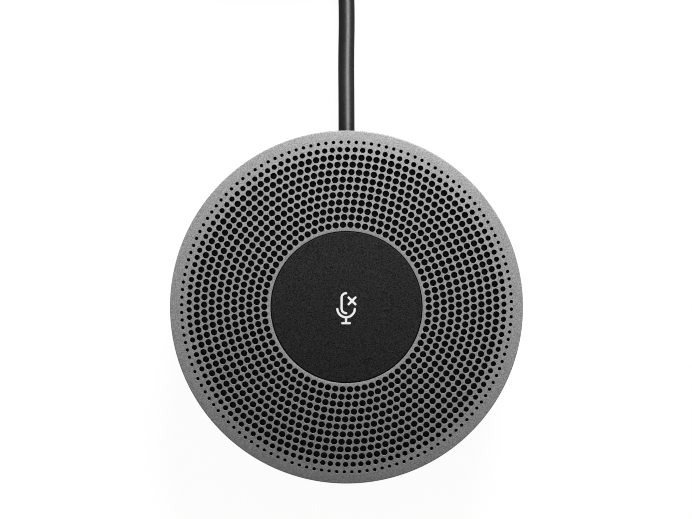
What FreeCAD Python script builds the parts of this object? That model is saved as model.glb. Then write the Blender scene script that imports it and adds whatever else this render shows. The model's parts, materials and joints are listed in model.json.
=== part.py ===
import FreeCAD, Part
import math
import os

Vector = FreeCAD.Vector
UP = Vector(0, 0, 1)
BACK = Vector(0, 1, 0)

# A round table microphone pod with one mute button and a captive cable.
# Millimetres. The origin is the middle of the foot's underside, +Z is up, and the cable leaves to +Y.

# ---------------------------------------------------------------- driving dimensions
pod_radius = 41.5
pod_height = 21.0
dome_radius = 160.0  # the top is a shallow part of one large sphere
cover_wall = 1.5
edge_fillet = 0.3
cover_bottom_radius = 41.0
cover_bottom_z = 12.6
cover_straight_z = 14.2  # the side is upright above this, and leans in below it
skirt_inner_radius = 39.4
snap_radius = 38.95  # the rib inside the skirt clicks over the base's lip
snap_low_z = 12.8
snap_high_z = 13.4

hole_rings = 12
first_ring_radius = 19.32
ring_pitch = 1.767
first_ring_holes = 70
holes_added_per_ring = 6
first_ring_turn = 0.972  # where the first ring starts, as a share of the gap between its holes
turn_per_ring = 0.34  # how much further each ring starts
hole_radius = 0.775
first_ring_hole_radius = 0.76
last_ring_hole_radii = (0.645, 0.42)  # the two outer rings fade out

button_hole_radius = 17.85
lead_in = 0.25  # bevel round the button's hole
collar_wall = 0.5
collar_bottom_z = 16.6

button_radius = 17.65
button_travel = 0.6
button_edge_fillet = 0.2
cap_roof_z = 19.0  # underside of the cap's roof
cap_wall = 1.2
cap_bottom_z = 17.2
icon_line = 0.5  # width of the symbol's strokes
icon_depth = 3.0  # more than the roof is thick
symbol_shift = -0.1  # the symbol sits slightly left of the button's middle
lens_radius = 6.4
lens_thickness = 0.8

carrier_outer = button_radius - cap_wall - 0.25
carrier_inner = 13.0
hub_radius = 5.0
hub_bottom_z = 16.2
arm_thickness = 1.2
arm_half_width = 2.0
plunger_radius = 2.4
plunger_bottom_z = 13.85
leg_angles = (30, 150, 270)
leg_inner = 14.8
leg_outer = 16.0
hook_outer = 17.0
hook_chamfer = 0.6
leg_bottom_z = 12.0

cloth_outer_radius = 39.2
cloth_thickness = 0.35
cloth_gap = 0.05

chassis_z = 13.2
chassis_top_z = 14.4
chassis_radius = 37.7
chassis_rib_inner = 36.6
chassis_rib_z = 11.4
post_radius = 2.8
cup_inner = 5.7
cup_outer = 6.8
cup_bottom_z = 10.6
cup_top_z = 14.8

base_bottom_z = 1.0
base_floor_z = 3.0
base_top_z = 12.1
base_floor_radius = 34.0
foot_inner_radius = 24.5
foot_outer_radius = 33.0
foot_top_z = 1.6
foot_fillet = 0.4
label_radius = 15.0
label_thickness = 0.2
ballast_radius = 25.0
ballast_top_z = 6.5

board_z = 7.8
board_thickness = 1.6
board_top = board_z + board_thickness
board_radius = 33.5

screw_circle_radius = 29.0
screw_angles = (60, 120, 225, 315)
screw_head_radius = 2.25
screw_head_z = 3.2
screw_seat_z = 4.6
screw_radius = 1.25
screw_top_z = 12.4

mic_circle_radius = 29.0
mic_angles = {"right": 30, "left": 150, "front": 270}
mic_radius = 4.85
mic_bottom_z = 11.2
mic_top_z = 14.9

switch_half = 3.1
switch_top_z = 12.8
stem_radius = 1.7
stem_bottom_z = 12.0
stem_top_z = plunger_bottom_z - 0.02

cable_diameter = 3.8
cable_radius = cable_diameter / 2
cable_exit_y = 40.2
cable_exit_z = 5.4
cable_inner_y = 25.5
grommet_radius = 2.95
clamp_y = 28.5
clamp_half_length = 8.8
clamp_half_width = 2.5
clamp_low_z = 6.45
clamp_top_z = 9.0
clamp_screw_x = 6.4
clamp_screw_radius = 0.9

wire_offsets = (-1.5, -0.5, 0.5, 1.5)
wire_radius = 0.36
wire_bend = 0.9
wire_rise_y = 24.0
wire_z = 11.15
harness_plug_back_y = 20.6

coil_layers = 4
coil_turns_per_layer = 8
coil_inner_radius = 13.3  # the free hole in the coil's middle
coil_outer_radius = coil_inner_radius + coil_turns_per_layer * cable_diameter
coil_height = coil_layers * cable_diameter
coil_centre = (-10.9, 140.2)
coil_fillet = 1.5
tie_angle = 180
tie_width = 9.0
tie_thickness = 0.9
tie_slack = 0.1

relief_small = 2.5
relief_large = 3.2
shell_start = 12.0  # distances along the plug, from where the cable enters it
shell_end = 28.0
shell_radius = 3.8
collar_radius = 2.6
barrel_start = 29.0
barrel_radius = 1.75  # a 3.5 mm four-pole plug
core_radius = 0.9
insulator_starts = (33.3, 36.2, 39.1)
insulator_width = 0.6

fit_gap = 0.05  # small clearance between pieces that only lie together
tiny = 0.01

# The cable runs straight back from the pod, bends left, and is wound into a neat round coil.
cable_route = [
    (0.0, 40.2, 5.4),
    (0.0, 47.7, 5.4),
    (-0.1, 58.6, 1.98),
    (0.1, 68.8, 1.95),
    (-0.2, 79.0, 1.95),
    (-4.9, 90.0, 1.95),
    (-13.3, 97.0, 1.95),
    (-23.8, 100.4, 1.95),
]
# The other end comes off the top of the coil, sinks round its outside to the floor, and ends in the plug.
tail_route = [
    (-29.4, 175.1, 13.0),
    (-11.6, 184.2, 11.9),
    (8.4, 182.8, 8.8),
    (23.2, 173.1, 5.2),
    (32.1, 159.6, 2.2),
    (36.1, 149.6, 2.0),
    (37.5, 140.6, 3.8),
    (38.2, 133.6, 3.8),
]


# ---------------------------------------------------------------- helpers
def save(name, *solids):
    """Write one node: a single solid, or a group of separate ones."""
    shape = solids[0] if len(solids) == 1 else Part.makeCompound(list(solids))
    shape.exportStep("parts/" + name + ".step")
    print(name, len(shape.Solids), "solid(s)", round(shape.Volume, 2), "mm3", shape.isValid())


def polar(radius, degrees, z=0.0):
    angle = math.radians(degrees)
    return Vector(radius * math.cos(angle), radius * math.sin(angle), z)


def turned(start, *steps):
    """Solid turned about Z. A step is a corner (r, z), or two of them: an arc through the first."""
    here = Vector(start[0], 0, start[1])
    edges = []
    for step in steps + (start,):
        if isinstance(step[0], tuple):
            middle, end = (Vector(r, 0, z) for r, z in step)
            edges.append(Part.Arc(here, middle, end).toShape())
        else:
            end = Vector(step[0], 0, step[1])
            edges.append(Part.LineSegment(here, end).toShape())
        here = end
    return Part.Face(Part.Wire(edges)).revolve(Vector(), UP, 360)


def rod(radius, low_z, high_z, x=0.0, y=0.0):
    return Part.makeCylinder(radius, high_z - low_z, Vector(x, y, low_z))


def tube(outer, inner, low_z, high_z, x=0.0, y=0.0):
    return rod(outer, low_z, high_z, x, y).cut(rod(inner, low_z, high_z, x, y))


def along_y(radius, y0, y1):
    """A rod on the cable's axis where it enters the pod."""
    return Part.makeCylinder(radius, y1 - y0, Vector(0, y0, cable_exit_z), BACK)


def block(x0, x1, y0, y1, z0, z1):
    return Part.makeBox(x1 - x0, y1 - y0, z1 - z0, Vector(x0, y0, z0))


def at_angle(solid, degrees):
    """The same solid turned about the pod's axis."""
    copy = solid.copy()
    copy.rotate(Vector(), UP, degrees)
    return copy


def by_coil(solid, degrees=0):
    """A solid made round the origin, turned and moved to the coil."""
    moved = at_angle(solid, degrees)
    moved.translate(Vector(coil_centre[0], coil_centre[1], 0))
    return moved


def edges_at(solid, z):
    """The edges that lie at one height."""
    boxes = [(edge, edge.BoundBox) for edge in solid.Edges]
    return [edge for edge, box in boxes if abs(box.ZMin - z) < tiny and abs(box.ZMax - z) < tiny]


def rounded(solid, radius, along):
    """Fillet the straight edges that run along one axis."""
    straight = [edge for edge in solid.Edges if isinstance(edge.Curve, Part.Line)]
    return solid.makeFillet(radius, [edge for edge in straight if abs(edge.tangentAt(0).dot(along)) > 1 - tiny])


def sphere_z(radius, depth=0.0):
    """Height of the dome, or of a surface some depth beneath it, at a distance from the axis."""
    return pod_height - dome_radius + math.sqrt((dome_radius - depth) ** 2 - radius**2)


def dome(depth=0.0):
    """Everything below the dome's surface, or below the surface some depth beneath it."""
    return Part.makeSphere(dome_radius - depth, Vector(0, 0, pod_height - dome_radius))


# ---------------------------------------------------------------- top cover
def perforations():
    """One short drill per hole, each standing square to the dome."""
    drills = []
    centre = Vector(0, 0, pod_height - dome_radius)
    above = 0.6
    below = cover_wall + 0.1
    radii = [hole_radius] * hole_rings
    radii[0] = first_ring_hole_radius
    radii[-len(last_ring_hole_radii):] = last_ring_hole_radii
    for ring in range(hole_rings):
        count = first_ring_holes + holes_added_per_ring * ring
        tilt = math.asin((first_ring_radius + ring_pitch * ring) / dome_radius)
        for number in range(count):
            turn = 2 * math.pi * (number + first_ring_turn + turn_per_ring * ring) / count
            outward = Vector(math.sin(tilt) * math.cos(turn), math.sin(tilt) * math.sin(turn), math.cos(tilt))
            foot = centre + outward * (dome_radius - below)
            drills.append(Part.makeCylinder(radii[ring], above + below, foot, outward))
    return Part.makeCompound(drills)


def top_cover():
    side_top = pod_height + 1
    outside = turned(
        (0, cover_bottom_z),
        (cover_bottom_radius, cover_bottom_z),
        (pod_radius, cover_straight_z),
        (pod_radius, side_top),
        (0, side_top),
    ).common(dome())
    outside = outside.makeFillet(edge_fillet, edges_at(outside, sphere_z(pod_radius)))
    inside = rod(skirt_inner_radius, cover_bottom_z - 1, side_top).common(dome(cover_wall))
    collar = rod(button_hole_radius + collar_wall, collar_bottom_z, side_top).common(dome(cover_wall / 2))
    in_the_wall = skirt_inner_radius + 0.3
    snap_rib = turned(
        (in_the_wall, snap_low_z),
        (in_the_wall, snap_high_z),
        (skirt_inner_radius, snap_high_z),
        (snap_radius, snap_high_z - 0.2),
        (snap_radius, snap_low_z + 0.2),
        (skirt_inner_radius, snap_low_z),
    )
    cover = outside.cut(inside).fuse([collar, snap_rib])
    well = rod(button_hole_radius, cover_bottom_z, side_top)
    edge_z = sphere_z(button_hole_radius)
    bevel = turned(
        (button_hole_radius - 1, edge_z - lead_in),
        (button_hole_radius, edge_z - lead_in),
        (button_hole_radius + 2 * lead_in, edge_z + lead_in),
        (button_hole_radius - 1, edge_z + lead_in),
    )
    return cover.cut([well, bevel]).removeSplitter().cut(perforations())


def acoustic_cloth():
    """Black cloth stretched just under the perforated dome."""
    inner_radius = button_hole_radius + collar_wall + 0.2
    ring = tube(cloth_outer_radius, inner_radius, chassis_z, pod_height)
    upper = cover_wall + cloth_gap
    return ring.common(dome(upper)).cut(dome(upper + cloth_thickness))


# ---------------------------------------------------------------- mute button
def stroke(start, end):
    """One straight stroke with round ends, seen from above, through the cap's roof."""
    a = Vector(start[0], start[1], cap_roof_z)
    b = Vector(end[0], end[1], cap_roof_z)
    side = (b - a).normalize().cross(UP) * (icon_line / 2)
    corners = [a + side, b + side, b - side, a - side, a + side]
    bar = Part.Face(Part.makePolygon(corners)).extrude(UP * icon_depth)
    ends = [Part.makeCylinder(icon_line / 2, icon_depth, p) for p in (a, b)]
    return bar.fuse(ends)


def curved_stroke(centre, radius, first, last):
    """One round stroke with round ends, from one angle to another, in degrees."""
    outer = Part.makeCylinder(radius + icon_line / 2, icon_depth, Vector(), UP, last - first)
    inner = rod(radius - icon_line / 2, 0, icon_depth)
    band = at_angle(outer.cut(inner), first)
    ends = [rod(icon_line / 2, 0, icon_depth, p.x, p.y) for p in (polar(radius, first), polar(radius, last))]
    whole = band.fuse(ends)
    whole.translate(Vector(centre[0], centre[1], cap_roof_z))
    return whole


def mute_symbol():
    """A microphone in outline, its right half open, with a small cross in the gap."""
    body_radius = 1.05
    body_top = 2.23
    body_low = -0.34
    cradle_radius = 2.05
    cradle_y = -0.31
    foot_y = -3.745
    foot_half = 0.885
    cross_x, cross_y, cross_half = 1.39, 1.48, 0.8
    left, right = cross_x - cross_half, cross_x + cross_half
    low, high = cross_y - cross_half, cross_y + cross_half
    strokes = [
        curved_stroke((0, body_top), body_radius, 90, 180),
        stroke((-body_radius, body_top), (-body_radius, body_low)),
        curved_stroke((0, body_low), body_radius, 180, 270),
        curved_stroke((0, cradle_y), cradle_radius, 183, 357),
        stroke((0, cradle_y - cradle_radius), (0, foot_y)),
        stroke((-foot_half, foot_y), (foot_half, foot_y)),
        stroke((left, low), (right, high)),
        stroke((left, high), (right, low)),
    ]
    symbol = strokes[0].fuse(strokes[1:])
    symbol.translate(Vector(symbol_shift, 0, 0))
    return symbol.common(dome())


def mute_button():
    """Cap with the symbol cut through its roof, and the white lens that fills the symbol from below."""
    symbol = mute_symbol()
    blank = rod(button_radius, cap_bottom_z, pod_height + 1).common(dome())
    blank = blank.makeFillet(button_edge_fillet, edges_at(blank, sphere_z(button_radius)))
    cap = blank.cut(rod(button_radius - cap_wall, cap_bottom_z - 1, cap_roof_z)).cut(symbol)
    lens_plate = rod(lens_radius, cap_roof_z - lens_thickness, cap_roof_z)
    return cap, lens_plate.fuse(symbol).removeSplitter()


def button_carrier():
    """Ring glued into the cap, a hub with the plunger, three arms, and three hooked guide legs."""
    half = arm_half_width
    arm_top = hub_bottom_z + arm_thickness
    ring = tube(carrier_outer, carrier_inner, hub_bottom_z, cap_roof_z)
    parts = [rod(hub_radius, hub_bottom_z, arm_top), rod(plunger_radius, plunger_bottom_z, hub_bottom_z)]
    arm = block(hub_radius - 1, carrier_inner + 0.5, -half, half, hub_bottom_z, arm_top)
    leg = block(leg_inner, leg_outer, -half, half, leg_bottom_z, hub_bottom_z + 0.5)
    hook = block(leg_outer - 0.1, hook_outer, -half, half, leg_bottom_z, chassis_z - fit_gap)
    tip = [edge for edge in edges_at(hook, leg_bottom_z) if edge.BoundBox.XMin > hook_outer - tiny]
    hook = hook.makeChamfer(hook_chamfer, tip)
    for angle in leg_angles:
        parts += [at_angle(part, angle) for part in (arm, leg, hook)]
    return ring.fuse(parts).removeSplitter()


def return_dome():
    """Silicone dome around the switch that lifts the button back: foot, thin wall and thick crown."""
    foot_top = board_top + 0.8
    crown_z = 15.0
    return turned(
        (6.6, board_top), (8.4, board_top), (8.4, foot_top), (6.9, foot_top),
        (5.4, crown_z), (5.4, hub_bottom_z), (3.4, hub_bottom_z), (3.4, crown_z),
        (4.6, crown_z - 0.4), (6.1, foot_top), (6.6, foot_top),
    )


def switch_body():
    """Tactile switch with a round well for its stem and four gull-wing legs."""
    half = switch_half
    leg_x, leg_half_width = 2.25, 0.35
    leg_top, leg_thickness, foot_length = board_top + 1.2, 0.2, 1.0
    body = rounded(block(-half, half, -half, half, board_top, switch_top_z), 0.4, UP)
    body = body.cut(rod(stem_radius + 0.08, stem_bottom_z - 1, switch_top_z))
    legs = []
    for x in (-leg_x, leg_x):
        left, right = x - leg_half_width, x + leg_half_width
        upright = block(left, right, half - 0.1, half + leg_thickness, board_top, leg_top)
        foot = block(left, right, half, half + foot_length, board_top, board_top + leg_thickness)
        legs += [at_angle(upright.fuse(foot), turn) for turn in (0, 180)]
    return body.fuse(legs).removeSplitter()


def switch_stem():
    stem = rod(stem_radius, stem_bottom_z, stem_top_z)
    return stem.makeChamfer(0.2, edges_at(stem, stem_top_z))


# ---------------------------------------------------------------- chassis, base and foot
def upper_chassis():
    """Black frame under the cloth: microphone cups, screw posts, button guide and sound windows."""
    guide_inner, guide_outer, guide_top = 18.9, 20.3, 17.6
    stop_top = hub_bottom_z - button_travel - 0.02
    slot_gap = 0.3
    window_inner, window_outer, window_half = 22.5, 34.5, 5.0
    window_angles = (0, 90, 180, 240, 300)
    plate = tube(chassis_radius, carrier_inner, chassis_z, chassis_top_z)
    solids = [
        tube(guide_outer, guide_inner, chassis_z, guide_top),
        tube(leg_inner - 0.6, carrier_inner, chassis_top_z, stop_top),
        tube(chassis_radius, chassis_rib_inner, chassis_rib_z, chassis_z),
    ]
    openings = []
    for angle in mic_angles.values():
        spot = polar(mic_circle_radius, angle)
        solids.append(rod(cup_outer, cup_bottom_z, cup_top_z, spot.x, spot.y))
        openings.append(rod(cup_inner, cup_bottom_z - 1, cup_top_z + 1, spot.x, spot.y))
    for angle in screw_angles:
        spot = polar(screw_circle_radius, angle)
        solids.append(rod(post_radius, board_top, chassis_z, spot.x, spot.y))
        openings.append(rod(screw_radius + 0.02, board_top - 1, screw_top_z + 0.4, spot.x, spot.y))
    half = arm_half_width + slot_gap
    slot = block(leg_inner - 0.25, leg_outer + 0.35, -half, half, chassis_z - 1, chassis_top_z + 1)
    strip = block(0, pod_radius, -window_half, window_half, chassis_z - 1, chassis_top_z + 1)
    window = tube(window_outer, window_inner, chassis_z - 1, chassis_top_z + 1).common(strip)
    openings += [at_angle(slot, angle) for angle in leg_angles]
    openings += [at_angle(window, angle) for angle in window_angles]
    return plate.fuse(solids).cut(openings).removeSplitter()


def base_shell():
    """Bowl that the pod stands on: screw posts, clamp posts, cable hole and a lip for the cover."""
    lip_outer, lip_inner, lip_top_z = 39.2, 37.8, 13.7
    groove_radius = lip_outer - 0.4  # the cover's snap rib sits here
    screw_post_radius, clamp_post_radius, clamp_post_top = 3.4, 2.2, 6.4
    bowl = turned(
        (0, base_bottom_z),
        (base_floor_radius, base_bottom_z),
        ((38.4, 5.0), (40.6, base_top_z)),
        (lip_outer, base_top_z),
        (lip_outer, snap_low_z - 0.05),
        (groove_radius, snap_low_z + 0.1),
        (groove_radius, snap_high_z - 0.1),
        (lip_outer - 0.1, lip_top_z),
        (lip_inner, lip_top_z),
        (lip_inner, 11.2),
        ((36.3, 5.8), (33.4, base_floor_z)),
        (0, base_floor_z),
    )
    posts = []
    cuts = [
        tube(foot_outer_radius + fit_gap, foot_inner_radius - fit_gap, 0, foot_top_z),
        rod(label_radius + 0.1, 0, base_bottom_z + label_thickness + 0.1),
        along_y(grommet_radius + fit_gap, cable_exit_y - 8.2, cable_exit_y + 3.8),
    ]
    for angle in screw_angles:
        spot = polar(screw_circle_radius, angle)
        posts.append(rod(screw_post_radius, base_floor_z - 0.5, board_z, spot.x, spot.y))
        cuts.append(rod(screw_head_radius + 0.15, 1, screw_seat_z, spot.x, spot.y))
        cuts.append(rod(screw_radius + 0.15, screw_seat_z - 0.6, board_z + 1.2, spot.x, spot.y))
    for x in (-clamp_screw_x, clamp_screw_x):
        posts.append(rod(clamp_post_radius, base_floor_z - 0.5, clamp_post_top, x, clamp_y))
        cuts.append(rod(clamp_screw_radius + 0.02, base_floor_z + 0.4, clamp_post_top + 0.6, x, clamp_y))
    return bowl.fuse(posts).cut(cuts).removeSplitter()


def housing_screws():
    """Self-tapping screws from below, hidden by the foot ring."""
    arm, half_slot, slot_top = 1.2, 0.25, screw_head_z + 0.6
    screws = []
    for angle in screw_angles:
        spot = polar(screw_circle_radius, angle)
        head = rod(screw_head_radius, screw_head_z, screw_seat_z, spot.x, spot.y)
        head = head.makeFillet(0.4, edges_at(head, screw_head_z))
        shank = rod(screw_radius, screw_seat_z, screw_top_z, spot.x, spot.y)
        slots = []
        for x, y in ((arm, half_slot), (half_slot, arm)):
            slots.append(block(spot.x - x, spot.x + x, spot.y - y, spot.y + y, screw_head_z - 0.2, slot_top))
        screws.append(head.fuse(shank).cut(slots))
    return screws


def foot_ring():
    """Rubber ring, its lower edges slightly rounded."""
    ring = tube(foot_outer_radius, foot_inner_radius, 0, foot_top_z)
    return ring.makeFillet(foot_fillet, edges_at(ring, 0))


def base_label():
    """Blank self-adhesive disc in the middle of the base."""
    return rod(label_radius, base_bottom_z + 0.1, base_bottom_z + 0.1 + label_thickness)


def ballast_plate():
    """Steel disc that keeps the pod in its place, with a notch for the cable."""
    plate = rod(ballast_radius, base_floor_z, ballast_top_z)
    return plate.cut(block(-10, 10, 19.5, 30, 0, 10))


# ---------------------------------------------------------------- circuit board
def main_board():
    """Round board with a notch over the cable clamp and a hole round each screw."""
    board = rod(board_radius, board_z, board_top)
    cuts = [block(-9.5, 9.5, 22.5, 40, 0, 20)]
    for angle in screw_angles:
        spot = polar(screw_circle_radius, angle)
        cuts.append(rod(screw_radius + 0.25, 0, 20, spot.x, spot.y))
    return board.cut(cuts)


def on_board(length, width, height, x, y):
    """A rectangular component on the board's top side."""
    return block(x - length / 2, x + length / 2, y - width / 2, y + width / 2, board_top, board_top + height)


def chip(side, height, x, y):
    """A square chip with broken edges and a shallow pin-one dimple."""
    top = board_top + height
    body = on_board(side, side, height, x, y)
    body = body.makeChamfer(0.15, edges_at(body, top))
    corner = side / 2 - 0.9
    return body.cut(rod(0.3, top - 0.1, top + 1, x - corner, y + corner))


def small_parts(length, width, height, places):
    """Surface-mount parts in rows, each with its two ends standing a little proud."""
    solids = []
    for x, y in places:
        body = on_board(length * 0.6, width * 0.92, height * 0.94, x, y)
        ends = [on_board(length * 0.2, width, height, x + side * length * 0.4, y) for side in (-1, 1)]
        solids.append(body.fuse(ends))
    return solids


def capacitor_places():
    around_codec = [(-22, -14 + 2.4 * i) for i in range(6)]
    around_controller = [(6 + 2.6 * i, -24.5) for i in range(5)]
    by_socket = [(-12 - 2.6 * i, 17.5) for i in range(3)]
    return around_codec + around_controller + by_socket


def resistor_places():
    led_side = [(-7.6 + 2.4 * i, -13.2) for i in range(7)]
    right_side = [(22.4, -10 + 2.0 * i) for i in range(6)]
    return led_side + right_side


def crystal_can():
    length, width, height = 7.0, 3.0, 2.6
    can = rounded(on_board(length, width, height, 24.0, 3.2), 1.4, UP)
    return can.makeFillet(0.3, edges_at(can, board_top + height))


def power_inductor():
    """Square moulded coil with a shallow ring in its top."""
    side, height, x, y = 5.0, 2.4, -27.0, 1.5
    top = board_top + height
    body = rounded(on_board(side, side, height, x, y), 0.8, UP)
    return body.cut(tube(1.9, 1.5, top - 0.3, top + 1, x, y))


def status_leds():
    """Three lamps under the lens, between the return dome and the guide legs."""
    lamps = []
    for angle in leg_angles:
        spot = polar(10.8, angle)
        base = on_board(1.6, 1.2, 0.3, spot.x, spot.y)
        lamps.append(base.fuse(on_board(1.0, 0.9, 0.8, spot.x, spot.y)))
    return lamps


# ---------------------------------------------------------------- microphones
def microphone(angle):
    """Capsule, rubber boot and two leads, upright in its cup."""
    spot = polar(mic_circle_radius, angle)
    can = rod(mic_radius, mic_bottom_z, mic_top_z, spot.x, spot.y)
    can = can.makeFillet(0.4, edges_at(can, mic_top_z))
    port_z = mic_top_z - 0.2
    ports = [rod(1.0, port_z, mic_top_z + 1, spot.x, spot.y)]
    for step in range(6):
        place = spot + polar(2.4, 60 * step)
        ports.append(rod(0.35, port_z, mic_top_z + 1, place.x, place.y))
    boot = rod(cup_inner - fit_gap, mic_bottom_z - 1, mic_top_z + 0.2, spot.x, spot.y)
    hollow = [
        rod(mic_radius + fit_gap, mic_bottom_z - fit_gap, mic_top_z + fit_gap, spot.x, spot.y),
        rod(3.6, mic_top_z - 0.9, mic_top_z + 1, spot.x, spot.y),
        rod(2.2, mic_bottom_z - 1.2, mic_bottom_z + 0.8, spot.x, spot.y),
    ]
    leads = [rod(0.3, board_top, mic_bottom_z, spot.x + x, spot.y) for x in (-1.27, 1.27)]
    return can.cut(ports), boot.cut(hollow), leads


# ---------------------------------------------------------------- cable entry
def cable_grommet():
    """Rubber bush in the wall: a flange inside, cut off at the floor, and a rounded nose outside."""
    flange_y0, flange_y1, flange_radius = 31.6, 33.0, 4.2
    above_floor = block(-5, 5, 30, 45, base_floor_z + fit_gap, 12)
    flange = along_y(flange_radius, flange_y0, flange_y1).common(above_floor)
    nose = along_y(grommet_radius, flange_y1, cable_exit_y)
    nose = nose.makeFillet(0.7, [edge for edge in nose.Edges if edge.BoundBox.YMin > cable_exit_y - tiny])
    return nose.fuse(flange).cut(along_y(cable_radius, 30, 45)).removeSplitter()


def cable_clamp():
    """Saddle over the cable, held by two screws."""
    near, far = clamp_y - clamp_half_width, clamp_y + clamp_half_width
    saddle = block(-clamp_half_length, clamp_half_length, near, far, clamp_low_z, clamp_top_z)
    cuts = [along_y(cable_radius + 0.02, 20, 40)]
    for x in (-clamp_screw_x, clamp_screw_x):
        cuts.append(rod(clamp_screw_radius + 0.2, 0, 20, x, clamp_y))
    return rounded(saddle, 1.5, UP).cut(cuts)


def clamp_screws():
    head_radius, head_top = 1.9, clamp_top_z + 1.2
    slot_half_length, slot_half_width = 1.3, 0.2
    screws = []
    near, far = clamp_y - slot_half_width, clamp_y + slot_half_width
    for x in (-clamp_screw_x, clamp_screw_x):
        head = rod(head_radius, clamp_top_z, head_top, x, clamp_y)
        head = head.makeFillet(0.5, edges_at(head, head_top))
        shank = rod(clamp_screw_radius, 4.0, clamp_top_z, x, clamp_y)
        slot = block(x - slot_half_length, x + slot_half_length, near, far, head_top - 0.4, head_top + 1)
        screws.append(head.fuse(shank).cut(slot))
    return screws


def harness_wires():
    """Four thin wires from the cable's end, up over the board's edge to the plug."""
    slant = wire_bend * (1 - math.sqrt(0.5))
    wires = []
    for x in wire_offsets:
        start = Vector(x, cable_inner_y, cable_exit_z)
        before_rise = Vector(x, wire_rise_y + wire_bend, cable_exit_z)
        first_middle = Vector(x, wire_rise_y + slant, cable_exit_z + slant)
        rise_start = Vector(x, wire_rise_y, cable_exit_z + wire_bend)
        rise_end = Vector(x, wire_rise_y, wire_z - wire_bend)
        second_middle = Vector(x, wire_rise_y - slant, wire_z - slant)
        level_start = Vector(x, wire_rise_y - wire_bend, wire_z)
        end = Vector(x, harness_plug_back_y, wire_z)
        path = Part.Wire([
            Part.LineSegment(start, before_rise).toShape(),
            Part.Arc(before_rise, first_middle, rise_start).toShape(),
            Part.LineSegment(rise_start, rise_end).toShape(),
            Part.Arc(rise_end, second_middle, level_start).toShape(),
            Part.LineSegment(level_start, end).toShape(),
        ])
        section = Part.Wire(Part.makeCircle(wire_radius, start, BACK))
        wires.append(path.makePipeShell([section], True, False))
    return wires


def board_socket():
    """Shrouded socket, open towards the cable."""
    shroud = block(-3.8, 3.8, 13.4, 18.6, board_top, 12.7)
    return shroud.cut(block(-3.1, 3.1, 15.0, 19, 9.95, 12.35))


def harness_plug():
    """Plug in the socket, with two latching ribs."""
    plug = block(-3.05, 3.05, 15.05, harness_plug_back_y, 10.0, 12.3)
    ribs = [block(x - 0.25, x + 0.25, 18.8, harness_plug_back_y, 12.0, 12.6) for x in (-2, 2)]
    return plug.fuse(ribs)


# ---------------------------------------------------------------- free cable
def cable_tube(name, points):
    """A tube along straight runs joined by tangent arcs, as large as the two runs allow."""
    corners = [Vector(*p) for p in points]
    runs = [b - a for a, b in zip(corners, corners[1:])]
    edges = []
    here = corners[0]
    for i in range(1, len(corners) - 1):
        back_along = (corners[i - 1] - corners[i]).normalize()
        on_along = (corners[i + 1] - corners[i]).normalize()
        half_turn = (math.pi - back_along.getAngle(on_along)) / 2
        reach = 0.45 * min(runs[i - 1].Length, runs[i].Length)
        bend = reach / math.tan(half_turn)
        print(name, "bend", i, "radius", round(bend, 1), "mm, turn", round(math.degrees(2 * half_turn), 1))
        arc_start = corners[i] + back_along * reach
        arc_end = corners[i] + on_along * reach
        to_centre = (back_along + on_along).normalize()
        arc_middle = corners[i] + to_centre * (bend / math.cos(half_turn) - bend)
        edges.append(Part.LineSegment(here, arc_start).toShape())
        edges.append(Part.Arc(arc_start, arc_middle, arc_end).toShape())
        here = arc_end
    edges.append(Part.LineSegment(here, corners[-1]).toShape())
    path = Part.Wire(edges)
    section = Part.Wire(Part.makeCircle(cable_radius, corners[0], runs[0].normalize()))
    solid = path.makePipeShell([section], True, False)
    expected = math.pi * cable_radius**2 * path.Length
    print(name, "volume", round(solid.Volume, 2), "mm3, section times length", round(expected, 2))
    return solid


def cable_coil():
    """The coil's outer shape: a ring as wide as its turns side by side and as high as its layers."""
    ring = tube(coil_outer_radius, coil_inner_radius, 0, coil_height)
    ring = ring.makeFillet(coil_fillet, edges_at(ring, 0) + edges_at(ring, coil_height))
    return by_coil(ring)


def cable_tie():
    """A strap closed round the coil's section, passing between the coil and the floor."""
    inner = coil_inner_radius - tie_slack
    outer = coil_outer_radius + tie_slack
    half = tie_width / 2
    wall = tie_thickness
    inside = block(inner, outer, -half, half, wall, coil_height)
    outside = block(inner - wall, outer + wall, -half, half, 0, coil_height + wall)
    band = rounded(outside, 1.5 + wall, BACK).cut(rounded(inside, 1.5, BACK))
    return by_coil(band, tie_angle)


# ---------------------------------------------------------------- plug
def plug_piece(*outline):
    """A piece turned about the plug's axis. The outline's corners are (distance along it, radius)."""
    corners = [Vector(radius, 0, distance) for distance, radius in outline]
    face = Part.Face(Part.makePolygon(corners + corners[:1]))
    solid = face.revolve(Vector(), UP, 360)
    before, end = (Vector(*point) for point in tail_route[-2:])
    solid.Placement = FreeCAD.Placement(end, FreeCAD.Rotation(UP, end - before))
    return solid


def plug_strain_relief():
    """Tapered rubber sleeve with flexing grooves."""
    first_groove, groove_pitch, groove_depth = 1.6, 2.2, 0.45
    outline = [(0, 0), (0, relief_small - 0.2), (0.2, relief_small)]
    for number in range(4):
        start = first_groove + groove_pitch * number
        taper = relief_small + (relief_large - relief_small) * start / shell_start
        bottom = taper - groove_depth
        outline += [(start, taper), (start + 0.2, bottom), (start + 0.9, bottom), (start + 1.1, taper + 0.05)]
    return plug_piece(*outline, (shell_start, relief_large), (shell_start, 0))


def plug_shell():
    return plug_piece(
        (shell_start, 0),
        (shell_start, shell_radius - 0.5),
        (shell_start + 0.6, shell_radius - 0.1),
        (shell_start + 1.2, shell_radius),
        (shell_end - 1.0, shell_radius),
        (shell_end - 0.3, shell_radius - 0.2),
        (shell_end, shell_radius - 0.6),
        (shell_end, 0),
    )


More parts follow.
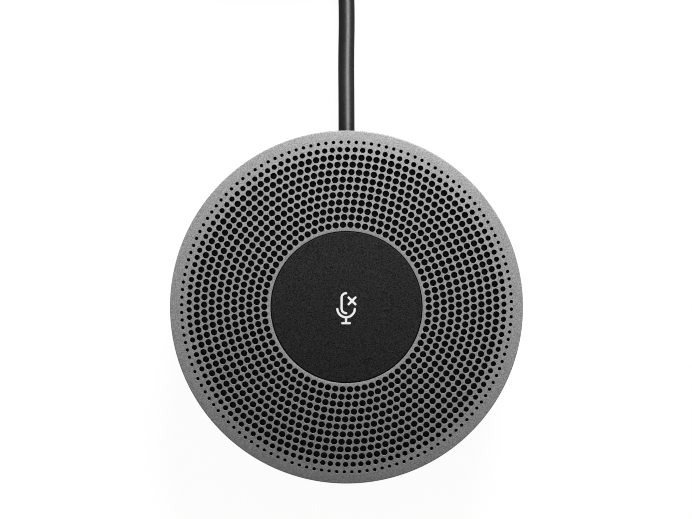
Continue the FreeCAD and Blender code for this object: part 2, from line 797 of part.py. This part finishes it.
def plug_contacts():
    """Sleeve with its collar, two rings and the tip, each a separate contact on the insulating core."""
    first, second, third = insulator_starts
    sleeve = plug_piece(
        (shell_end, core_radius),
        (shell_end, collar_radius),
        (barrel_start, collar_radius),
        (barrel_start, barrel_radius),
        (first, barrel_radius),
        (first, core_radius),
    )
    rings = []
    for start, end in ((first + insulator_width, second), (second + insulator_width, third)):
        outline = (start, core_radius), (start, barrel_radius), (end, barrel_radius), (end, core_radius)
        rings.append(plug_piece(*outline))
    start = third + insulator_width
    neck_radius, bulb_radius, point_radius = 1.2, 1.55, 0.5
    tip = plug_piece(
        (start, core_radius),
        (start, barrel_radius),
        (start + 0.5, barrel_radius),
        (start + 1.1, neck_radius),
        (start + 1.5, neck_radius),
        (start + 2.1, bulb_radius),
        (start + 2.7, neck_radius),
        (start + 3.3, point_radius),
        (start + 3.3, 0),
        (start + 0.8, 0),
        (start + 0.8, core_radius),
    )
    return sleeve, rings, tip


def plug_insulator():
    """Core through the contacts, with a flange between each two."""
    corners = [(shell_end, 0), (shell_end, core_radius)]
    for start in insulator_starts:
        end = start + insulator_width
        corners += [(start, core_radius), (start, barrel_radius), (end, barrel_radius), (end, core_radius)]
    core_end = insulator_starts[-1] + insulator_width + 0.8
    return plug_piece(*corners, (core_end, core_radius), (core_end, 0))


def main():
    os.makedirs("parts", exist_ok=True)
    save("top_cover", top_cover())
    save("acoustic_cloth", acoustic_cloth())
    cap, lens = mute_button()
    save("mute_button_cap", cap)
    save("icon_lens", lens)
    save("button_carrier", button_carrier())
    save("return_dome", return_dome())
    save("switch_body", switch_body())
    save("switch_stem", switch_stem())
    save("upper_chassis", upper_chassis())
    save("base_shell", base_shell())
    save("foot_ring", foot_ring())
    save("base_label", base_label())
    save("ballast_plate", ballast_plate())
    save("housing_screws", *housing_screws())
    save("main_board", main_board())
    save("codec_chip", chip(7.0, 0.9, -15.5, -12))
    save("controller_chip", chip(10.0, 1.2, 13.5, -12.5))
    save("regulator_chip", chip(4.0, 1.1, -20, 2))
    save("crystal_can", crystal_can())
    save("power_inductor", power_inductor())
    save("board_capacitors", *small_parts(1.6, 0.8, 0.8, capacitor_places()))
    save("board_resistors", *small_parts(1.6, 0.8, 0.5, resistor_places()))
    save("status_leds", *status_leds())
    for side, angle in mic_angles.items():
        capsule, boot, leads = microphone(angle)
        save("mic_capsule_" + side, capsule)
        save("mic_boot_" + side, boot)
        save("mic_leads_" + side, *leads)
    save("cable_grommet", cable_grommet())
    save("cable_clamp", cable_clamp())
    save("clamp_screws", *clamp_screws())
    save("cable_inner_end", along_y(cable_radius, cable_inner_y, cable_exit_y))
    save("harness_wires", *harness_wires())
    save("harness_plug", harness_plug())
    save("board_socket", board_socket())
    tie = cable_tie()
    coil = cable_coil().cut(tie)
    save("cable_coil", coil)
    save("cable_tie", tie)
    save("cable_run", cable_tube("cable_run", cable_route).cut(coil))
    save("cable_tail", cable_tube("cable_tail", tail_route).cut(coil))
    sleeve, rings, tip = plug_contacts()
    save("plug_strain_relief", plug_strain_relief())
    save("plug_shell", plug_shell())
    save("plug_sleeve", sleeve)
    save("plug_rings", *rings)
    save("plug_tip", tip)
    save("plug_insulator", plug_insulator())


main()
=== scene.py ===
import json
import math

import bpy
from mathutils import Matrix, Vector
from mathutils.geometry import delaunay_2d_cdt


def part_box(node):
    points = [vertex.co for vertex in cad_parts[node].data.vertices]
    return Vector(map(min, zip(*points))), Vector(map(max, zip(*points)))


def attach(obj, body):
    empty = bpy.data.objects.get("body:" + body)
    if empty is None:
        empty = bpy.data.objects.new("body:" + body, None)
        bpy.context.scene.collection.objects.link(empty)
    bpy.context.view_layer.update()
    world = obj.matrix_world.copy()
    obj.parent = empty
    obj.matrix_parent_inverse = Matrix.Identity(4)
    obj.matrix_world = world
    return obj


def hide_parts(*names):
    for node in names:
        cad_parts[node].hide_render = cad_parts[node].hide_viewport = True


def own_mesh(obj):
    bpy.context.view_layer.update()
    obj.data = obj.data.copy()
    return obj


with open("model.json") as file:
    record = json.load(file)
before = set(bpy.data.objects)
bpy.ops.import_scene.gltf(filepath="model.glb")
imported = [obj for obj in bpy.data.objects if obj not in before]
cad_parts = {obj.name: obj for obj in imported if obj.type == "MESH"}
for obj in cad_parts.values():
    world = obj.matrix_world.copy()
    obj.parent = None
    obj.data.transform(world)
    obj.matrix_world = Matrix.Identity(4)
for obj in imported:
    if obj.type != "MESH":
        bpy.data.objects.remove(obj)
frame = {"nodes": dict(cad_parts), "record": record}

# A round table microphone pod. Metres, in the part's own frame: +Z up, the cable leaves to +Y.
MM = 0.001
UP = Vector((0, 0, 1))
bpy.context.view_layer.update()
cover_low, cover_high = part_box("top_cover")
coil_low, coil_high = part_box("cable_coil")

pod_radius = cover_high.x
pod_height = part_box("mute_button_cap")[1].z
dome_radius = 160 * MM  # the top is a shallow part of one large sphere
dome_centre = Vector((0, 0, pod_height - dome_radius))
cover_wall = 1.5 * MM


# ---------------------------------------------------------------- camera, floor and light
def camera():
    """Straight down from far away, so that the disc stays a true circle."""
    height = 2.0
    aim = Vector((-0.12 * MM, 11.18 * MM, 0))
    seen_width = 162.7 * MM  # at the height of the rim
    rim_z = cover_high.z - 5 * MM
    data = bpy.data.cameras.new("camera")
    data.sensor_width = 36
    data.lens = data.sensor_width * (height - rim_z) / seen_width
    data.clip_start = 0.05
    data.clip_end = 50
    holder = bpy.data.objects.new("camera", data)
    holder.location = aim + UP * height
    bpy.context.collection.objects.link(holder)
    bpy.context.scene.camera = holder


def area_light(name, place, aim, width, height, power):
    data = bpy.data.lights.new(name, "AREA")
    data.shape = "RECTANGLE"
    data.size = width
    data.size_y = height
    data.energy = power
    light = bpy.data.objects.new(name, data)
    light.location = place
    light.rotation_mode = "QUATERNION"
    light.rotation_quaternion = (Vector(aim) - Vector(place)).to_track_quat("-Z", "Y")
    light.visible_camera = False
    bpy.context.collection.objects.link(light)
    return light


def direction(azimuth, elevation):
    """Unit vector, azimuth from +X towards +Y, both in degrees."""
    a, e = math.radians(azimuth), math.radians(elevation)
    return Vector((math.cos(a) * math.cos(e), math.sin(a) * math.cos(e), math.sin(e)))


def studio():
    """A low soft light from behind, an even sky and a backlit white table."""
    bpy.context.scene.view_settings.view_transform = "Standard"
    bpy.context.scene.cycles.filter_width = 1.0
    world = bpy.data.worlds.new("studio")
    world.use_nodes = True
    world.node_tree.nodes["Background"].inputs["Color"].default_value = (1, 1, 1, 1)
    world.node_tree.nodes["Background"].inputs["Strength"].default_value = 0.2
    bpy.context.scene.world = world
    area_light("key", direction(80, 25) * 1.6, (0, 0, 10 * MM), width=0.7, height=0.35, power=49)

    half = 9.0
    mesh = bpy.data.meshes.new("floor")
    corners = [(-half, -half, 0), (half, -half, 0), (half, half, 0), (-half, half, 0)]
    mesh.from_pydata(corners, [], [(0, 1, 2, 3)])
    floor = bpy.data.objects.new("floor", mesh)
    bpy.context.collection.objects.link(floor)
    glow = {"Emission_Color": (1, 1, 1, 1), "Emission_Strength": 0.955}
    paper = Finish("floor_paper", (0.05, 0.05, 0.05), 0.8, **glow)
    paper.bump(paper.noise(900, 3), 0.05 * MM, 0.15)
    mesh.materials.append(paper.material)
    floor.visible_glossy = False


def cable_light(cord):
    """A soft box overhead to the right that shines on the cable alone, for the line of light along it."""
    aim = Vector((0, 55 * MM, 0))
    light = area_light("cable_light", aim + direction(0, 69) * 1.4, aim, width=3, height=0.95, power=84)
    receivers = bpy.data.collections.new("cable_light_receivers")
    receivers.objects.link(cord)
    light.light_linking.receiver_collection = receivers


# ---------------------------------------------------------------- materials
class Finish:
    """A Principled material built up in layers. Textures are measured in metres of the object."""

    def __init__(self, name, colour, roughness, **fixed):
        self.material = bpy.data.materials.new(name)
        self.material.use_nodes = True
        self.nodes = self.material.node_tree.nodes
        self.links = self.material.node_tree.links
        self.shader = self.nodes["Principled BSDF"]
        self.colour = colour
        self.shader.inputs["Base Color"].default_value = (*colour, 1)
        self.shader.inputs["Roughness"].default_value = roughness
        for socket, value in fixed.items():
            self.shader.inputs[socket.replace("_", " ")].default_value = value
        self.coordinates = self.nodes.new("ShaderNodeTexCoord").outputs["Object"]

    def add(self, kind, **inputs):
        node = self.nodes.new(kind)
        for socket, value in inputs.items():
            target = node.inputs[socket.replace("_", " ")]
            if isinstance(value, bpy.types.NodeSocket):
                self.links.new(value, target)
            else:
                target.default_value = value
        return node

    def noise(self, scale, detail=2.0, roughness=0.5):
        """Noise with about this many features per metre."""
        settings = {"Scale": scale, "Detail": detail, "Roughness": roughness}
        return self.add("ShaderNodeTexNoise", Vector=self.coordinates, **settings).outputs["Fac"]

    def stretched_noise(self, scale, stretch, detail=2.0):
        """Noise drawn out along some axes, for brushed or drawn surfaces."""
        mapping = self.add("ShaderNodeMapping", Vector=self.coordinates, Scale=stretch)
        node = self.add("ShaderNodeTexNoise", Vector=mapping.outputs["Vector"], Scale=scale, Detail=detail)
        return node.outputs["Fac"]

    def range(self, value, low, high, from_low=0.3, from_high=0.7):
        node = self.nodes.new("ShaderNodeMapRange")
        self.links.new(value, node.inputs["Value"])
        limits = {"From Min": from_low, "From Max": from_high, "To Min": low, "To Max": high}
        for socket, number in limits.items():
            node.inputs[socket].default_value = number
        return node.outputs["Result"]

    def shade(self, value, darkest, lightest):
        """Vary the base colour between two multiples of itself."""
        node = self.nodes.new("ShaderNodeMix")
        node.data_type = "RGBA"
        self.links.new(value, node.inputs["Factor"])
        node.inputs["A"].default_value = (*(c * darkest for c in self.colour), 1)
        node.inputs["B"].default_value = (*(c * lightest for c in self.colour), 1)
        self.links.new(node.outputs["Result"], self.shader.inputs["Base Color"])

    def roughen(self, value, low, high):
        self.links.new(self.range(value, low, high), self.shader.inputs["Roughness"])

    def bump(self, value, height, strength=1.0):
        """Add a bump layer on top of those already there."""
        node = self.nodes.new("ShaderNodeBump")
        node.inputs["Strength"].default_value = strength
        node.inputs["Distance"].default_value = height
        self.links.new(value, node.inputs["Height"])
        below = self.shader.inputs["Normal"]
        if below.is_linked:
            self.links.new(below.links[0].from_socket, node.inputs["Normal"])
        self.links.new(node.outputs["Normal"], below)


def grained_plastic(name, colour, roughness, grain=4200, height=0.012 * MM, spread=0.12):
    """Moulded plastic with a fine spark-eroded grain and slight cloudiness."""
    finish = Finish(name, colour, roughness)
    fine = finish.noise(grain, 2)
    finish.bump(fine, height)
    finish.shade(finish.noise(220, 3), 1 - spread, 1 + spread)
    finish.roughen(finish.noise(600, 3), roughness - 0.05, roughness + 0.06)
    return finish.material


def cover_paint():
    """Satin mid grey with a fine grain: each speck catches the light a little differently."""
    finish = Finish("cover_paint", (0.27, 0.27, 0.27), 0.45)
    speck = finish.noise(3600, 2, 0.6)
    finish.shade(finish.range(speck, 0, 1, 0.35, 0.65), 0.64, 1.36)
    finish.bump(speck, 0.01 * MM)
    finish.bump(finish.noise(900, 2), 0.004 * MM)
    finish.roughen(finish.noise(1400, 3), 0.4, 0.5)
    return finish.material


def button_plastic():
    """Near-black plastic, fully matte, with a fine grain that shows faintly."""
    finish = Finish("button_plastic", (0.0205, 0.0205, 0.021), 0.75, Specular_IOR_Level=0.03)
    grain = finish.noise(3600, 2, 0.6)
    finish.shade(finish.range(grain, 0, 1, 0.35, 0.65), 0.3, 1.7)
    finish.bump(grain, 0.03 * MM)
    finish.roughen(finish.noise(1500, 2), 0.7, 0.8)
    return finish.material


def woven(name, colour, pitch, roughness, height):
    """Plain weave: two crossed sets of rounded threads."""
    finish = Finish(name, colour, roughness, Sheen_Weight=0.15, Sheen_Roughness=0.5)
    waves = []
    for axis in ("X", "Y"):
        wave = finish.nodes.new("ShaderNodeTexWave")
        wave.bands_direction = axis
        wave.inputs["Scale"].default_value = math.pi / pitch / 10
        wave.inputs["Distortion"].default_value = 0.4
        finish.links.new(finish.coordinates, wave.inputs["Vector"])
        waves.append(wave.outputs["Fac"])
    join = finish.nodes.new("ShaderNodeMath")
    join.operation = "MULTIPLY"
    finish.links.new(waves[0], join.inputs[0])
    finish.links.new(waves[1], join.inputs[1])
    finish.shade(join.outputs[0], 0.5, 1.7)
    finish.bump(join.outputs[0], height)
    return finish.material


def white_lens():
    finish = Finish("white_lens", (0.9, 0.9, 0.9), 0.35)
    finish.shade(finish.noise(500, 2), 0.97, 1.02)
    finish.bump(finish.noise(3000, 1), 0.002 * MM)
    return finish.material


def rubber(name, colour, roughness):
    finish = Finish(name, colour, roughness)
    finish.bump(finish.noise(2600, 3), 0.01 * MM)
    finish.shade(finish.noise(150, 4), 0.85, 1.25)
    return finish.material


def plated(name, colour, roughness):
    """Plated or drawn metal with faint turning marks and handling blur."""
    finish = Finish(name, colour, roughness, Metallic=1.0)
    finish.bump(finish.stretched_noise(9000, (0.05, 0.05, 1)), 0.0015 * MM)
    finish.roughen(finish.noise(900, 3), roughness - 0.06, roughness + 0.1)
    finish.shade(finish.noise(300, 2), 0.94, 1.04)
    return finish.material


def solder_mask():
    finish = Finish("board_green", (0.02, 0.12, 0.05), 0.3, Coat_Weight=0.4, Coat_Roughness=0.15)
    tracks = finish.nodes.new("ShaderNodeTexBrick")
    tracks.inputs["Scale"].default_value = 160
    tracks.inputs["Mortar Size"].default_value = 0.012
    finish.links.new(finish.coordinates, tracks.inputs["Vector"])
    finish.shade(tracks.outputs["Fac"], 1.0, 1.7)
    finish.bump(tracks.outputs["Fac"], 0.02 * MM)
    return finish.material


def blank_label():
    finish = Finish("blank_label", (0.5, 0.5, 0.5), 0.38, Metallic=0.4)
    finish.bump(finish.stretched_noise(5000, (1, 0.02, 1)), 0.003 * MM)
    finish.shade(finish.noise(200, 2), 0.96, 1.04)
    return finish.material


def cable_jacket():
    """Satin black flexible jacket, very slightly uneven along its length."""
    finish = Finish("cable_jacket", (0.004, 0.004, 0.0042), 0.37)
    finish.bump(finish.noise(3000, 2), 0.004 * MM)
    finish.bump(finish.noise(160, 1), 0.05 * MM, 0.5)
    finish.roughen(finish.noise(900, 3), 0.34, 0.42)
    finish.shade(finish.noise(400, 3), 0.85, 1.2)
    return finish.material


def make_materials():
    return {
        "cover_paint": cover_paint(),
        "black_cloth": woven("black_cloth", (0.1, 0.1, 0.1), 0.22 * MM, 0.8, 0.05 * MM),
        "button_plastic": button_plastic(),
        "white_lens": white_lens(),
        "black_plastic": grained_plastic("black_plastic", (0.016, 0.016, 0.017), 0.42),
        "base_plastic": grained_plastic("base_plastic", (0.03, 0.03, 0.032), 0.5, 3400, 0.02 * MM),
        "silicone": rubber("silicone", (0.55, 0.55, 0.56), 0.4),
        "foot_rubber": rubber("foot_rubber", (0.022, 0.022, 0.022), 0.7),
        "blank_label": blank_label(),
        "zinc_steel": plated("zinc_steel", (0.55, 0.55, 0.57), 0.3),
        "board_green": solder_mask(),
        "chip_black": grained_plastic("chip_black", (0.02, 0.02, 0.02), 0.55, 9000, 0.01 * MM),
        "chip_tan": grained_plastic("chip_tan", (0.45, 0.32, 0.2), 0.5, 9000, 0.005 * MM),
        "capsule_aluminium": plated("capsule_aluminium", (0.72, 0.72, 0.73), 0.32),
        "gold_contact": plated("gold_contact", (0.86, 0.62, 0.27), 0.2),
        "nylon_white": grained_plastic("nylon_white", (0.75, 0.73, 0.68), 0.45),
        "cable_jacket": cable_jacket(),
        "tie_fabric": woven("tie_fabric", (0.02, 0.02, 0.02), 0.5 * MM, 0.85, 0.12 * MM),
    }


def paint_frame(materials):
    """Give every CAD node the finish of its slot."""
    slots = {entry["node"]: entry["material_slot"] for entry in frame["record"]["subparts"]}
    for name, node in frame["nodes"].items():
        node.data.materials.clear()
        node.data.materials.append(materials[slots[name]])


# ---------------------------------------------------------------- mesh helpers
def piece(name, vertices, faces, material, body="pod", smooth=True):
    mesh = bpy.data.meshes.new(name)
    mesh.from_pydata(vertices, [], faces)
    mesh.validate()
    mesh.materials.append(material)
    if smooth:
        mesh.shade_smooth()
    made = bpy.data.objects.new(name, mesh)
    bpy.context.collection.objects.link(made)
    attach(made, body)
    return made


def sharpen(mesh, degrees):
    """Edges that turn more than this stay crisp."""
    mesh.set_sharp_from_angle(angle=math.radians(degrees))


def dome_z(radius, depth=0.0):
    return dome_centre.z + math.sqrt((dome_radius - depth) ** 2 - radius**2)


def circle(radius, count, z):
    turns = (2 * math.pi * i / count for i in range(count))
    return [Vector((radius * math.cos(t), radius * math.sin(t), z)) for t in turns]


# ---------------------------------------------------------------- perforated cover
hole_rings = 12
first_ring_radius = 19.32 * MM
ring_pitch = 1.767 * MM
first_ring_holes = 70
holes_added_per_ring = 6
first_ring_turn = 0.972
turn_per_ring = 0.34
hole_radii = [0.76 * MM] + [0.775 * MM] * 9 + [0.645 * MM, 0.42 * MM]
hole_sides = 20
lip = 0.03 * MM  # broken edge round each hole
round_sides = 256


class Cover:
    """The perforated dome as one closed mesh, with its top and underside triangulated between the holes."""

    def __init__(self):
        self.vertices = []
        self.faces = []
        self.shaded_wall_faces = []
        self.top_loops = []
        self.under_loops = []

    def ring(self, points):
        first = len(self.vertices)
        self.vertices += points
        return list(range(first, first + len(points)))

    def band(self, upper, lower):
        """Quads between two rings of equal count, facing outward when upper lies above."""
        count = len(upper)
        for i in range(count):
            j = (i + 1) % count
            self.faces.append((upper[i], lower[i], lower[j], upper[j]))

    def fill(self, loops, flip):
        """Triangles over the sheet that the loops bound: the first is its outline, the others are holes."""
        points, edges, owner, ids = [], [], [], []
        for number, loop in enumerate(loops):
            start = len(points)
            for i, vertex in enumerate(loop):
                points.append(self.vertices[vertex].xy / MM)
                edges.append((start + i, start + (i + 1) % len(loop)))
                owner.append(number)
                ids.append(vertex)
        _, _, triangles, origins, _, _ = delaunay_2d_cdt(points, edges, [], 0, 1e-7, True)
        source = [o[0] for o in origins]
        for triangle in triangles:
            a, b, c = (source[v] for v in triangle)
            in_a_hole = owner[a] == owner[b] == owner[c] != 0
            if not in_a_hole:
                self.faces.append((ids[a], ids[c], ids[b]) if flip else (ids[a], ids[b], ids[c]))

    def hole(self, outward, radius):
        """One hole, square to the dome, with a small broken edge at its mouth."""
        across = outward.cross(UP).normalized()
        along = outward.cross(across)
        turns = [2 * math.pi * i / hole_sides for i in range(hole_sides)]
        sides = [across * math.cos(t) + along * math.sin(t) for t in turns]

        def at(sphere, reach):
            middle = dome_centre + outward * math.sqrt(sphere**2 - reach**2)
            return self.ring([middle + side * reach for side in sides])

        mouth = at(dome_radius, radius + lip)
        throat = at(dome_radius - lip, radius)
        bottom = at(dome_radius - cover_wall, radius)
        self.band(throat, mouth)
        # Walls below the lip: black, as bare moulding and as painted shade inside the hole.
        first = len(self.faces)
        self.band(bottom, throat)
        self.shaded_wall_faces += range(first, len(self.faces))
        self.top_loops.append(mouth)
        self.under_loops.append(bottom)


def fillet_profile(centre, radius, first, last, steps):
    """Points of a round corner in an upright plane, from one angle to another in degrees."""
    points = []
    for i in range(steps + 1):
        turn = math.radians(first + (last - first) * i / steps)
        points.append((centre[0] + radius * math.cos(turn), centre[1] + radius * math.sin(turn)))
    return points


def top_cover(paint, wall_shade):
    """The perforated cover, grey paint outside to each hole's lip; below it the walls take black plastic,
    partly bare moulding and partly painted shade that keeps each hole dark.
    """
    cover = Cover()
    well_radius = 17.85 * MM
    break_width = 0.1 * MM
    edge = 0.3 * MM
    skirt_inner = 39.4 * MM
    bottom_z = cover_low.z
    collar_radius = 18.35 * MM
    collar_z = 16.6 * MM

    fillet_r = pod_radius - edge
    fillet_z = dome_z(fillet_r, edge)
    lean = math.degrees(math.asin(fillet_r / (dome_radius - edge)))
    outline = fillet_profile((fillet_r, fillet_z), edge, 90 - lean, 0, 8)
    # Down the skirt, round its foot, up inside past the snap bead, and under the dome.
    outline += [
        (pod_radius, 14.2 * MM),
        (41.03 * MM, bottom_z + 0.1 * MM),
        (40.9 * MM, bottom_z),
        (skirt_inner + 0.1 * MM, bottom_z),
        (skirt_inner, bottom_z + 0.1 * MM),
        (skirt_inner, 12.8 * MM),
        (38.95 * MM, 13.0 * MM),
        (38.95 * MM, 13.2 * MM),
        (skirt_inner, 13.4 * MM),
        (skirt_inner, dome_z(skirt_inner, cover_wall)),
    ]
    outer = [cover.ring(circle(r, round_sides, z)) for r, z in outline]
    for upper, lower in zip(outer, outer[1:]):
        cover.band(upper, lower)

    well = [
        (collar_radius, dome_z(collar_radius, cover_wall)),
        (collar_radius, collar_z),
        (well_radius, collar_z),
        (well_radius, dome_z(well_radius) - break_width),
        (well_radius + break_width * 0.3, dome_z(well_radius) - break_width * 0.3),
        (well_radius + break_width, dome_z(well_radius + break_width)),
    ]
    inner = [cover.ring(circle(r, round_sides, z)) for r, z in well]
    for upper, lower in zip(inner, inner[1:]):
        cover.band(upper, lower)

    for ring in range(hole_rings):
        count = first_ring_holes + holes_added_per_ring * ring
        tilt = math.asin((first_ring_radius + ring_pitch * ring) / dome_radius)
        for number in range(count):
            turn = 2 * math.pi * (number + first_ring_turn + turn_per_ring * ring) / count
            flat = Vector((math.cos(turn), math.sin(turn), 0)) * math.sin(tilt)
            cover.hole(flat + UP * math.cos(tilt), hole_radii[ring])

    cover.fill([outer[0], inner[-1]] + cover.top_loops, False)
    cover.fill([outer[-1], inner[0]] + cover.under_loops, True)
    made = piece("top_cover_shell", cover.vertices, cover.faces, paint)
    # Second slot: the hole walls in black plastic, painted shade inside the holes as well as bare moulding.
    made.data.materials.append(wall_shade)
    for face in cover.shaded_wall_faces:
        made.data.polygons[face].material_index = 1
    sharpen(made.data, 25)
    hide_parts("top_cover")


# ---------------------------------------------------------------- acoustic cloth
def acoustic_cloth(material):
    """Black cloth stretched under the holes."""
    inner, outer = 18.55 * MM, 39.2 * MM
    thickness = 0.3 * MM
    rings, sides = 14, 160
    vertices, faces = [], []
    for i in range(rings + 1):
        radius = inner + (outer - inner) * i / rings
        vertices += circle(radius, sides, dome_z(radius, cover_wall + 0.07 * MM))
    for i in range(rings):
        for j in range(sides):
            k = (j + 1) % sides
            faces.append((i * sides + j, (i + 1) * sides + j, (i + 1) * sides + k, i * sides + k))
    cloth = piece("acoustic_cloth_sheet", vertices, faces, material)
    solid = cloth.modifiers.new("thickness", "SOLIDIFY")
    solid.thickness = thickness
    solid.offset = -1
    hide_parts("acoustic_cloth")


# ---------------------------------------------------------------- return dome
def return_dome(material):
    """Silicone dome under the button, with foot, wall and crown. The real dome flattens as the button goes
    down; this mesh keeps its rest shape.
    """
    dome_low, dome_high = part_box("return_dome")
    slack = 0.02 * MM  # between the crown and the button's hub
    bottom, top = dome_low.z, dome_high.z - slack
    foot_top = bottom + 0.8 * MM
    crown_z = 15.0 * MM
    outline = [
        (dome_high.x, bottom), (6.6 * MM, bottom), (6.6 * MM, foot_top), (6.1 * MM, foot_top),
        (4.6 * MM, crown_z - 0.4 * MM), (3.4 * MM, crown_z), (3.4 * MM, top), (5.4 * MM, top),
        (5.4 * MM, crown_z), (6.9 * MM, foot_top), (dome_high.x, foot_top),
    ]
    sides = 96
    vertices, faces = [], []
    for i, (radius, z) in enumerate(outline):
        vertices += circle(radius, sides, z)
        here, there = i * sides, (i + 1) % len(outline) * sides
        for j in range(sides):
            k = (j + 1) % sides
            faces.append((here + j, there + j, there + k, here + k))
    dome = piece("return_dome_silicone", vertices, faces, material)
    sharpen(dome.data, 30)
    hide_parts("return_dome")
    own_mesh(dome)


# ---------------------------------------------------------------- cable
cable_diameter = 3.8 * MM
route = [
    (0.0, 40.2, 5.4),
    (0.0, 47.7, 5.4),
    (-0.1, 58.6, 1.98),
    (0.1, 68.8, 1.95),
    (-0.2, 79.0, 1.95),
    (-4.9, 90.0, 1.95),
    (-13.3, 97.0, 1.95),
]
tail_route = [
    (-11.6, 184.2, 11.9),
    (8.4, 182.8, 8.8),
    (23.2, 173.1, 5.2),
    (32.1, 159.6, 2.2),
    (36.1, 149.6, 2.0),
    (37.5, 140.6, 3.8),
    (38.2, 133.6, 3.8),
]
coil_centre = Vector((-10.9, 140.2)) * MM
coil_bulge = 2.1 * MM  # how far a turn swings past its layer's edge as it climbs to the next
# The turns aren't quite round: each wave's height, count round a turn and start in radians.
waviness = ((0.35 * MM, 2, 0.6), (0.2 * MM, 3, 2.0))
coil_layers = 4
turns_per_layer = 8
points_per_turn = 24
coil_entry = 252.0  # degrees round the coil where the cable joins it
coil_leave = 126.0  # degrees where the last turn leaves it
jog = 60.0  # each turn shifts to its neighbour's place within this angle, just before the entry
tie_angle = 180.0  # where the strap goes round the coil's section
tie_lift = 0.95 * MM  # the coil passes over the strap by this much
lift_flat = 8 * MM  # full lift to this far from the strap's middle
lift_slope = 16 * MM  # and none after this much more
floor_gap = 0.05 * MM


def smooth(t):
    t = min(1.0, max(0.0, t))
    return t * t * (3 - 2 * t)


def coil_points():
    """Turns wound clockwise in layers, in and out by turns, each a diameter from the next."""
    outer = (coil_high.x - coil_low.x) / 2 - cable_diameter / 2
    rounding = 1 / math.cos(math.pi / points_per_turn)  # the curve runs inside its control points
    step = 360.0 / points_per_turn
    turns = coil_layers * turns_per_layer
    last = (turns - 1) * points_per_turn + round((coil_entry - coil_leave) / step)
    points = []
    for number in range(last + 1):
        turn, spot = divmod(number, points_per_turn)
        layer, place = divmod(turn, turns_per_layer)
        inward = layer % 2 == 0
        column = place if inward else turns_per_layer - 1 - place
        shift = smooth((spot * step - (360 - jog)) / jog)
        radius = outer - column * cable_diameter
        height = cable_diameter * (layer + 0.5)
        if place < turns_per_layer - 1:
            radius -= shift * cable_diameter * (1 if inward else -1)
        else:
            height += shift * cable_diameter
            swing = math.sin(math.pi * min(1.0, max(0.0, (spot * step - (360 - jog)) / jog)))
            radius -= swing * coil_bulge * (1 if inward else -1)
        angle = math.radians(coil_entry - spot * step)
        radius += sum(size * math.sin(waves * angle + start) for size, waves, start in waviness)
        away = abs(math.remainder(angle - math.radians(tie_angle), 2 * math.pi)) * radius
        height += tie_lift * (1 - smooth((away - lift_flat) / lift_slope)) + floor_gap
        flat = Vector((math.cos(angle), math.sin(angle))) * radius * rounding
        points.append((*(coil_centre + flat), height))
    return points


def cable(material):
    points = [Vector(p) * MM for p in route]
    points += [Vector(p) for p in coil_points()]
    points += [Vector(p) * MM for p in tail_route]
    data = bpy.data.curves.new("cable_cord", "CURVE")
    data.dimensions = "3D"
    data.bevel_depth = cable_diameter / 2
    data.bevel_resolution = 7
    data.resolution_u = 4
    spline = data.splines.new("NURBS")
    spline.points.add(len(points) - 1)
    for point, place in zip(spline.points, points):
        point.co = (*place, 1)
    spline.order_u = 3
    spline.use_endpoint_u = True
    spline.use_smooth = True
    data.materials.append(material)
    cord = bpy.data.objects.new("cable_cord", data)
    bpy.context.collection.objects.link(cord)
    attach(cord, "pod")
    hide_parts("cable_run", "cable_coil", "cable_tail")
    return cord


# ---------------------------------------------------------------- strap round the coil
def strap(material):
    """Hook-and-loop strap: once round the coil's section, its end lying over its start."""
    tie_low, tie_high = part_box("cable_tie")
    width = tie_high.y - tie_low.y
    thickness = 0.8 * MM
    corner = 2.0 * MM
    middle = (tie_low.x + tie_high.x) / 2
    half = (tie_high.x - tie_low.x) / 2 - thickness / 2
    low = thickness / 2
    high = coil_layers * cable_diameter + tie_lift + floor_gap + thickness / 2
    overlap = 13 * MM
    start = middle - 2 * MM
    rise_start = middle - half + corner + 4 * MM
    rise_end = middle - half + corner + 8 * MM
    creep = 0.15 * MM  # the strap has begun to rise at the start of its ramp

    path = [(start, high)]
    for cx, cz, first in ((half, high, 90), (half, low, 0), (-half, low, -90), (-half, high, -180)):
        sx = math.copysign(half - corner, cx)
        sz = cz - corner if cz == high else cz + corner
        path += fillet_profile((middle + sx, sz), corner, first, first - 90, 6)
    path += [(rise_start, high + creep), (rise_end, high + thickness), (start + overlap, high + thickness)]

    columns = 9
    centre_y = (tie_low.y + tie_high.y) / 2
    vertices, faces = [], []
    for x, z in path:
        vertices += [(x, centre_y + width * (c / (columns - 1) - 0.5), z) for c in range(columns)]
    for i in range(len(path) - 1):
        for c in range(columns - 1):
            a = i * columns + c
            faces.append((a, a + 1, a + columns + 1, a + columns))
    band = piece("cable_strap", vertices, faces, material)
    solid = band.modifiers.new("thickness", "SOLIDIFY")
    solid.thickness = thickness
    solid.offset = 0
    soften = band.modifiers.new("edges", "BEVEL")
    soften.width = 0.15 * MM
    soften.segments = 2
    soften.limit_method = "ANGLE"
    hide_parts("cable_tie")
    return band


camera()
studio()
materials = make_materials()
paint_frame(materials)
top_cover(materials["cover_paint"], materials["black_plastic"])
acoustic_cloth(materials["black_cloth"])
return_dome(materials["silicone"])
cord = cable(materials["cable_jacket"])
cable_strap = strap(materials["tie_fabric"])
cable_light(cord)
